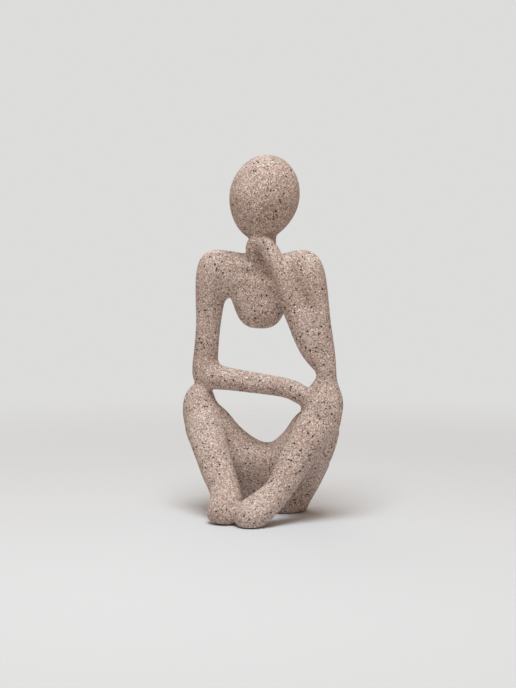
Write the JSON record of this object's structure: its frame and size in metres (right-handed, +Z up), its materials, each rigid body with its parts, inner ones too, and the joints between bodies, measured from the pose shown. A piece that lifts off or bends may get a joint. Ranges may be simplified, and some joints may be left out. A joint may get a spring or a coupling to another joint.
{
  "type": "thinker statue",
  "caption": "Slender abstract figure that sits in thought, faceless egg head on a curled hand, cast in speckled sandstone resin for a shelf or desk.",
  "frame": {"origin": "on the surface that the figure sits on, in the middle of its width and depth", "axes": "+Z up, +X to the figure's left, +Y to its back, so that the figure faces -Y"},
  "size_m": [0.1266, 0.1004, 0.2653],
  "materials": {
    "sandstone_resin": "matte cast resin with a fine pinkish beige sandstone grain and dark, white and brown specks",
    "steel": "plain drawn steel",
    "felt": "dark self-adhesive felt"
  },
  "bodies": {
    "root": {"head": "sandstone_resin", "torso": "sandstone_resin", "right_arm": "sandstone_resin", "left_arm": "sandstone_resin", "seat_and_thighs": "sandstone_resin", "right_leg": "sandstone_resin", "left_leg": "sandstone_resin", "neck_dowel": "steel", "right_elbow_dowel": "steel", "right_knee_dowel": "steel", "left_knee_dowel": "steel", "right_arm_wire": "steel", "left_arm_wire": "steel", "left_forearm_wire": "steel", "seat_pad": "felt", "right_foot_pad": "felt", "left_foot_pad": "felt"}
  },
  "joints": []
}
